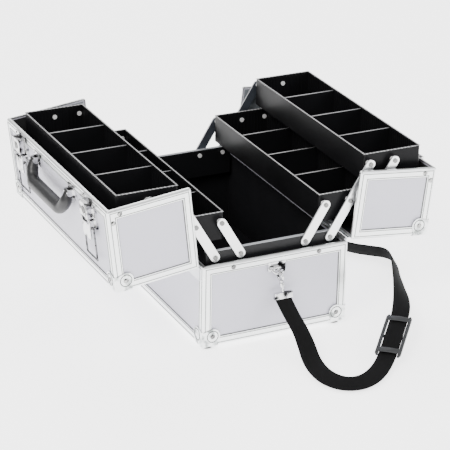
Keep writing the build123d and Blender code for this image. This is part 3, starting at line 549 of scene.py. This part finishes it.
FINISH_OF_SLOT = {
    "aluminium_rail": rail_metal, "lid_board": facing, "polished_metal": plate_metal,
    "arm_metal": arm_metal, "hinge_metal": hinge_metal, "tray_plastic": black_plastic,
    "lining_board": flock, "lid_lining": film, "collar_board": collar, "grip_plastic": grip_plastic,
    "foot_rubber": foot_rubber, "strap_webbing": webbing_cloth, "slider_plastic": slider_plastic,
}

for entry in frame["record"]["subparts"]:
    finish = FINISH_OF_SLOT[entry["material_slot"]]
    if entry["node"].endswith("corner_caps"):
        finish = cap_metal
    if entry["node"].endswith("lid_rivets"):
        finish = rivet_metal
    if entry["node"].endswith("tray_rivets") or entry["node"] == "base_rivets":
        finish = pivot_metal
    if entry["node"].endswith("latch_loop") or entry["node"].endswith("hook_gate"):
        finish = wire_metal
    if entry["node"].endswith("lock_cylinder"):
        finish = lock_metal
    for slot in nodes[entry["node"]].material_slots:
        slot.material = finish
webbing.data.materials.append(webbing_cloth)


# ---------------------------------------------------------------- trays

RIB_W = 1.3 * MM
RIB_TIP = 0.3            # half width of a rib's tip, as a share of its root's width
RIB_ROOT = 0.2 * MM      # how far a rib reaches into its wall
RIB_BEVEL = (3 * MM, 1.6 * MM)    # below the rim, where the bevel starts and ends
RIBS_CLEAR = 12 * MM     # left free at the two ends of a wall together
RIB_DEPTH = 0.7 * MM
TRAY_WALL = 2.0 * MM
TRAY_FLOOR = 1.5 * MM
RIM_BEAD_W = 2.1 * MM
RIM_BEAD_H = 0.9 * MM
DIVIDER_BEAD_W = 1.8 * MM
DIVIDER_BEAD_H = 0.8 * MM


def rib(work, foot, inward, low, high):
    """One upright divider rib on a tray wall."""
    side = Vector((-inward.y, inward.x, 0))
    rings = []
    bevel_from, bevel_to = RIB_BEVEL
    for z, grow in ((low + TRAY_FLOOR, 1), (high - bevel_from, 1), (high - bevel_to, 0.3)):
        root = foot - inward * RIB_ROOT + Z_AXIS * z
        tip = foot + inward * (RIB_DEPTH * grow) + Z_AXIS * z
        rings.append([root - side * (RIB_W / 2), tip - side * (RIB_W * RIB_TIP),
                      tip + side * (RIB_W * RIB_TIP), root + side * (RIB_W / 2)])
    skin_rings(work, rings, False)


def tray_details(name, tier):
    """Divider ribs down the tray's long walls and rounded beads on its rim and dividers."""
    body = f"{name}_{tier}_tray"
    low, high = (Vector(corner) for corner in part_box(body))
    divider_low, divider_high = (Vector(corner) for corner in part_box(f"{body}_dividers"))

    def build_ribs(work):
        count = int((high.y - low.y - RIBS_CLEAR) / RIB_PITCH)
        start = (low.y + high.y) / 2 - (count - 1) * RIB_PITCH / 2
        for x, inward in ((low.x + TRAY_WALL, 1), (high.x - TRAY_WALL, -1)):
            for k in range(count):
                rib(work, Vector((x, start + k * RIB_PITCH, 0)), Vector((inward, 0, 0)), low.z, high.z)
        across_count = int((high.x - low.x - RIBS_CLEAR) / RIB_PITCH)
        first = (low.x + high.x) / 2 - (across_count - 1) * RIB_PITCH / 2
        for y, inward in ((low.y + TRAY_WALL, 1), (high.y - TRAY_WALL, -1)):
            for k in range(across_count):
                rib(work, Vector((first + k * RIB_PITCH, y, 0)), Vector((0, inward, 0)), low.z, high.z)

    def build_rim(work):
        inset = TRAY_WALL / 2
        rim = [Vector((x, y, high.z)) for x, y in (
            (low.x + inset, low.y + inset), (high.x - inset, low.y + inset),
            (high.x - inset, high.y - inset), (low.x + inset, high.y - inset))]
        bead(work, rim, RIM_BEAD_W, RIM_BEAD_H, closed=True)

    def build_divider_tops(work):
        for k in (-1, 0, 1):
            y = (low.y + high.y) / 2 + k * (divider_high.y - divider_low.y) / 2
            ends = [Vector((x, y, divider_high.z)) for x in (divider_low.x, divider_high.x)]
            bead(work, ends, DIVIDER_BEAD_W, DIVIDER_BEAD_H)

    add_built(f"{body}_ribs", build_ribs, body, black_plastic, smooth=False)
    add_built(f"{body}_rim_bead", build_rim, body, rim_highlight_plastic)
    add_built(f"{body}_divider_tops", build_divider_tops, body, divider_highlight_plastic)


for side in ("left", "right"):
    for tier in ("lower", "upper"):
        tray_details(side, tier)


# ---------------------------------------------------------------- edges of the shell

EDGE_IN = 1.6 * MM       # boards below the extrusions' faces
SINK = 0.02 * MM         # how far a raised detail is set into its face
RIDGE_STEPS = 6
RIDGE_INSETS = (4.2 * MM, 11.2 * MM)
RIDGE_W = 1.1 * MM
RIDGE_H = 0.55 * MM
GASKET_INSET = 13.5 * MM
GASKET_W = 1.2 * MM
GASKET_H = 0.5 * MM
CAP_CENTRE = 15 * MM
CAP_FACE = 1.05 * MM
CAP_RING_R = 8.2 * MM
CAP_RING_W = 1.4 * MM
CAP_RING_H = 0.5 * MM
CAP_RING_SIDES = 28
CAP_RING_STEPS = 4
LID_RISE = 121 * MM
PARTING = 1 * MM         # base rim to lid
HINGE_HEIGHT = 0.1169
HINGE_OUT = 0.1125
OPEN_ANGLE = {"left": -96.7, "right": 96.3}


def swing(name):
    """Carries a closed lid to where it stands open."""
    if name == "base":
        return Matrix()
    pin = Vector((-HINGE_OUT if name == "left" else HINGE_OUT, 0, HINGE_HEIGHT))
    rotation = Matrix.Rotation(radians(OPEN_ANGLE[name]), 4, "Y")
    return Matrix.Translation(pin) @ rotation @ Matrix.Translation(-pin)


def ridge_loop(work, corners, normal, move, width, rise):
    """A raised ridge round a face, through its four corners."""
    rings = []
    for k, corner in enumerate(corners):
        before = (corner - corners[k - 1]).normalized()
        after = (corners[(k + 1) % 4] - corner).normalized()
        outward = (before - after) * 0.5
        ring = []
        for step in range(RIDGE_STEPS + 1):
            angle = pi * step / RIDGE_STEPS
            ring.append(move @ (corner + outward * (cos(angle) * width)
                                + normal * (sin(angle) * rise - SINK)))
        rings.append(ring)
    skin_rings(work, rings, True)


def face_corners(axis, place, low, high, inset):
    """The corners of one face of a box, drawn in by an inset."""
    a, b = [k for k in range(3) if k != axis]
    corners = []
    for at_a, at_b in ((low, low), (high, low), (high, high), (low, high)):
        point = Vector((0, 0, 0))
        point[axis] = place
        point[a] = at_a[a] + (inset if at_a is low else -inset)
        point[b] = at_b[b] + (inset if at_b is low else -inset)
        corners.append(point)
    return corners


def ridges(name, body, low, high, faces):
    """Ridges along the edge extrusions of one box, dark with painted shade, and the gaskets where its
    boards meet them, dark with painted shadow of the gap.
    """
    def build(work):
        for axis, end in faces:
            normal = Vector((0, 0, 0))
            normal[axis] = end
            for inset in RIDGE_INSETS:
                corners = face_corners(axis, high[axis] if end > 0 else low[axis], low, high, inset)
                ridge_loop(work, corners, normal, swing(name), RIDGE_W, RIDGE_H)

    def build_gaskets(work):
        for axis, end in faces:
            normal = Vector((0, 0, 0))
            normal[axis] = end
            place = high[axis] - EDGE_IN if end > 0 else low[axis] + EDGE_IN
            corners = face_corners(axis, place, low, high, GASKET_INSET)
            ridge_loop(work, corners, normal, swing(name), GASKET_W, GASKET_H)

    add_built(f"{name}_edge_ridges", build, body, ridge_shade_metal)
    add_built(f"{name}_board_gaskets", build_gaskets, body, gasket)


def cap_rings(name, body, corners):
    """The ring stamped round the rivet on each face of a corner cap, coloured dark with painted shade."""
    def build(work):
        for corner, inward in corners:
            for axis in range(3):
                middle = corner + Vector(inward) * CAP_CENTRE
                middle[axis] = corner[axis] - inward[axis] * CAP_FACE
                normal = Vector((0, 0, 0))
                normal[axis] = -inward[axis]
                first = normal.orthogonal().normalized()
                second = normal.cross(first)
                rings = []
                for k in range(CAP_RING_SIDES):
                    out = around(first, second, k / CAP_RING_SIDES)
                    ring = []
                    for step in range(CAP_RING_STEPS + 1):
                        angle = pi * step / CAP_RING_STEPS
                        reach = CAP_RING_R + cos(angle) * CAP_RING_W / 2
                        lift = sin(angle) * CAP_RING_H - SINK
                        ring.append(swing(name) @ (middle + out * reach + normal * lift))
                    rings.append(ring)
                skin_rings(work, rings, True)

    add_built(f"{name}_cap_rings", build, body, cap_ring_shade_metal)


base_high = Vector(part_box("base_rim_rails")[1])
base_low = Vector(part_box("base_edge_rails")[0])
ridges("base", "case_base", base_low, base_high, [(0, -1), (0, 1), (1, -1), (1, 1)])
cap_rings("base", "case_base", [(Vector((x * base_high.x, y * base_high.y, base_low.z)), (-x, -y, 1))
                                for x in (-1, 1) for y in (-1, 1)])
LID_FOOT = base_high.z + PARTING
LID_HEAD = LID_FOOT + LID_RISE
SEAM = {"left": 9 * MM, "right": 10 * MM}
for name, side in (("left", -1), ("right", 1)):
    lid_low = Vector((min(side * base_high.x, SEAM[name]), -base_high.y, LID_FOOT))
    lid_high = Vector((max(side * base_high.x, SEAM[name]), base_high.y, LID_HEAD))
    ridges(name, f"{name}_lid", lid_low, lid_high, [(0, side), (1, -1), (1, 1), (2, 1)])
    head = [(Vector((side * base_high.x, y * base_high.y, LID_HEAD)), (-side, -y, -1)) for y in (-1, 1)]
    cap_rings(name, f"{name}_lid", head)


# ---------------------------------------------------------------- handle, fitting rivets and strap slider

HANDLE_S = 17 * MM
HANDLE_N = 6.5 * MM
HANDLE_REACH = 28 * MM
HANDLE_LIFT = radians(20)
HANDLE_Y = 63.5 * MM
HANDLE_THICK = (4.6 * MM, 8.4 * MM, 9.8 * MM)
HANDLE_BEND = 22 * MM
HANDLE_STEPS = 12        # points along each bend and along the grip
HANDLE_LEG_FOOT = -2 * MM
HANDLE_RISE = 0.16       # share of the half bow over which a leg thickens
HANDLE_SWELL = (0.32, 0.12)    # where the grip's swelling starts and over how much, in the same shares
HANDLE_PIN_R = 2.5 * MM
HANDLE_PIN_HALF = 7 * MM


def on_left_lid(s, y, n):
    """A point on the open left lid: s in from the seam edge, n out of the lid's top."""
    return swing("left") @ Vector((SEAM["left"] - s, y, LID_HEAD + n))


def round_sweep(work, path, radii, sides=20):
    """A round bar along a path, with its own radius at each point."""
    rings = []
    level = None
    for k, point in enumerate(path):
        along = (path[min(k + 1, len(path) - 1)] - path[max(k - 1, 0)]).normalized()
        if level is None:
            level = along.orthogonal().normalized()
        level = (level - along * level.dot(along)).normalized()
        other = along.cross(level)
        rings.append([point + around(level, other, j / sides) * radii[k] for j in range(sides)])
    skin_rings(work, rings, False)


def make_handle():
    """The grip's bow, which thickens from its legs to its middle, and its two pins."""
    outline = [(-HANDLE_Y, HANDLE_LEG_FOOT)]
    for k in range(HANDLE_STEPS + 1):
        angle = pi / 2 * k / HANDLE_STEPS
        outline.append((-HANDLE_Y + HANDLE_BEND * (1 - cos(angle)),
                        HANDLE_REACH - HANDLE_BEND * (1 - sin(angle))))
    for k in range(1, HANDLE_STEPS):
        along = k / HANDLE_STEPS * 2 * (HANDLE_Y - HANDLE_BEND)
        outline.append((-HANDLE_Y + HANDLE_BEND + along, HANDLE_REACH))
    outline += [(-y, reach) for y, reach in outline[HANDLE_STEPS + 1::-1]]
    path = [on_left_lid(HANDLE_S + reach * cos(HANDLE_LIFT), y, HANDLE_N + reach * sin(HANDLE_LIFT))
            for y, reach in outline]
    travelled = [0.0]
    for first, second in zip(path, path[1:]):
        travelled.append(travelled[-1] + (second - first).length)
    foot, bend, middle = HANDLE_THICK
    swell_from, swell_over = HANDLE_SWELL
    radii = []
    for run in travelled:
        share = min(run, travelled[-1] - run) / (travelled[-1] / 2)
        rise = min(1.0, share / HANDLE_RISE)
        swell = max(0.0, min(1.0, (share - swell_from) / swell_over))
        radii.append(foot + (bend - foot) * rise + (middle - bend) * swell * swell * (3 - 2 * swell))

    def build_bow(work):
        round_sweep(work, path, radii, sides=28)

    def build_pins(work):
        for y in (-HANDLE_Y, HANDLE_Y):
            ends = [on_left_lid(HANDLE_S, y + end * HANDLE_PIN_HALF, HANDLE_N) for end in (-1, 1)]
            round_sweep(work, ends, [HANDLE_PIN_R] * 2)

    bow = add_built("handle_bow", build_bow, "handle_grip", grip_plastic)
    pin_piece = add_built("handle_pins", build_pins, "handle_grip", plate_metal,
                          smooth=False)
    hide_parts("handle_grip")
    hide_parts("handle_grip")


make_handle()

LATCH_Y = 125 * MM
PLATE_N = 1.4 * MM
PLATE_RIVET_Y = 16 * MM
PLATE_RIVET_S = (5 * MM, 24 * MM, 38.5 * MM)
PLATE_RIVET = (1.9 * MM, 0.8 * MM)      # radius and height
BRACKET_N = 1.6 * MM
BRACKET_RIVET_Y = 9.4 * MM
BRACKET_RIVET_S = 6 * MM
BRACKET_RIVET = (1.7 * MM, 0.7 * MM)


def build_fitting_rivets(work):
    """Rivet heads on the latch plates and on the handle's brackets."""
    out = swing("left").to_3x3() @ Z_AXIS
    for y in (-LATCH_Y, LATCH_Y):
        for across_y in (-PLATE_RIVET_Y, PLATE_RIVET_Y):
            for s in PLATE_RIVET_S:
                dome(work, on_left_lid(s, y + across_y, PLATE_N), out, *PLATE_RIVET)
    for y in (-HANDLE_Y, HANDLE_Y):
        for across_y in (-BRACKET_RIVET_Y, BRACKET_RIVET_Y):
            for s in (HANDLE_S - BRACKET_RIVET_S, HANDLE_S + BRACKET_RIVET_S):
                dome(work, on_left_lid(s, y + across_y, BRACKET_N), out, *BRACKET_RIVET)


add_built("fitting_rivets", build_fitting_rivets, "left_lid", rivet_metal)

SLIDER_HALF_L = 44 * MM
SLIDER_HALF_W = 17.5 * MM
SLIDER_SIDE_IN = 2 * MM
SLIDER_SIDE_R = (1.6 * MM, 2.5 * MM)    # at a side bar's ends and along it
SLIDER_TAPER = 4 * MM
SLIDER_TOE_IN = 0.93
SLIDER_BAR_AT = 35 * MM
SLIDER_BAR_IN = 1.5 * MM
SLIDER_BAR_OUT = 3.2 * MM
SLIDER_BAR_T = 1.3 * MM
SLIDER_BAR_HALF = (5 * MM, 3 * MM)      # half the width of a bar over the webbing and of the one under it
SLIDER_SHOULDER = (2.5 * MM, 0.85)      # in from a bar's end, and the share of its lift there
SLIDER_CROWN = 1.1
SLIDER_BAR_SIDES = 20


def make_slider():
    """A moulded frame round the webbing, with two cross bars over it and one under it."""
    path = strap_path()
    low, high = (Vector(corner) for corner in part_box("strap_slider"))
    centre = (low + high) / 2
    middle = min(range(len(path)), key=lambda k: (path[k] - centre).length)
    first = min(range(middle), key=lambda k: abs((path[k] - path[middle]).length - SLIDER_HALF_L))
    last = min(range(middle, len(path)),
               key=lambda k: abs((path[k] - path[middle]).length - SLIDER_HALF_L))
    along = (path[last] - path[first]).normalized()
    wide = Z_AXIS.cross(along).normalized()
    thick = along.cross(wide)
    seat = (path[first] + path[last] + path[middle] * 2) / 4

    def at(run, over, out):
        return seat + along * run + wide * over + thick * out

    def build(work):
        tip_r, side_r = SLIDER_SIDE_R
        straight = SLIDER_HALF_L - SLIDER_TAPER
        for end in (-1, 1):
            over = end * (SLIDER_HALF_W - SLIDER_SIDE_IN)
            round_sweep(work, [at(-SLIDER_HALF_L, over * SLIDER_TOE_IN, 0), at(-straight, over, 0),
                               at(straight, over, 0), at(SLIDER_HALF_L, over * SLIDER_TOE_IN, 0)],
                        [tip_r, side_r, side_r, tip_r], sides=16)
        ends = SLIDER_HALF_W - SLIDER_BAR_IN
        shoulder = ends - SLIDER_SHOULDER[0]
        rise = SLIDER_SHOULDER[1]
        bow = ((-ends, 0), (-shoulder, rise), (0, SLIDER_CROWN), (shoulder, rise), (ends, 0))
        over_half, under_half = SLIDER_BAR_HALF
        for run, out, half in ((-SLIDER_BAR_AT, SLIDER_BAR_OUT, over_half),
                               (0, -SLIDER_BAR_OUT, under_half),
                               (SLIDER_BAR_AT, SLIDER_BAR_OUT, over_half)):
            rings = []
            for over, lift in bow:
                centre_line = at(run, over, out * lift)
                rings.append([centre_line + around(along * half, thick * SLIDER_BAR_T, k / SLIDER_BAR_SIDES)
                              for k in range(SLIDER_BAR_SIDES)])
            skin_rings(work, rings, False)

    slider = add_built("strap_slider_frame", build, "case_base", slider_plastic)
    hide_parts("strap_slider")
    return slider


slider = make_slider()
strap_path()


# ---------------------------------------------------------------- floor and light

FLOOR_Z = -6.6 * MM
FLOOR_HALF = 6


def build_floor(work):
    """A wide level square under the case."""
    for x, y in ((-1, -1), (1, -1), (1, 1), (-1, 1)):
        work.verts.new((x * FLOOR_HALF, y * FLOOR_HALF, FLOOR_Z))
    work.faces.new(work.verts)


floor = bpy.data.objects.new("floor", mesh_from("floor", build_floor))
bpy.context.scene.collection.objects.link(floor)
paper = Finish("floor_paper")
floor.data.materials.append(paper.done(Base_Color=(0.93, 0.93, 0.93), Roughness=0.9,
                                       Emission_Color=(1, 1, 1), Emission_Strength=2.6))

studio = Finish("studio", surround=True)
height = studio.split(studio.place("Generated"))[2] * 0.5 + 0.5
SURROUND = [(0.47, (0.10, 0.10, 0.11)), (0.54, (0.16, 0.16, 0.17)), (0.62, (0.75, 0.75, 0.76)),
            (0.80, (1, 1, 1))]
sky = studio.node("ShaderNodeValToRGB", {"stops": SURROUND}, {"Fac": height}, "Color")
bpy.context.scene.world = studio.done(Color=sky, Strength=1.15)


def area_light(name, at, aim, size, power, tint):
    """A square lamp at one place, turned towards another."""
    lamp = bpy.data.objects.new(name, bpy.data.lights.new(name, "AREA"))
    lamp.data.shape = "SQUARE"
    lamp.data.size = size
    lamp.data.energy = power
    lamp.data.color = tint
    lamp.location = at
    lamp.rotation_euler = (Vector(aim) - Vector(at)).to_track_quat("-Z", "Y").to_euler()
    bpy.context.scene.collection.objects.link(lamp)


area_light("key", (-1.9, -1.4, 2.2), (0, 0, 0.1), 1.2, 74, (1.0, 0.975, 0.95))
area_light("fill", (1.9, -1.6, 1.2), (0, 0, 0.1), 1.4, 30, (0.94, 0.96, 1.0))
area_light("back", (0.4, 1.8, 2.2), (0, 0, 0.1), 1.4, 30, (1.0, 1.0, 1.0))
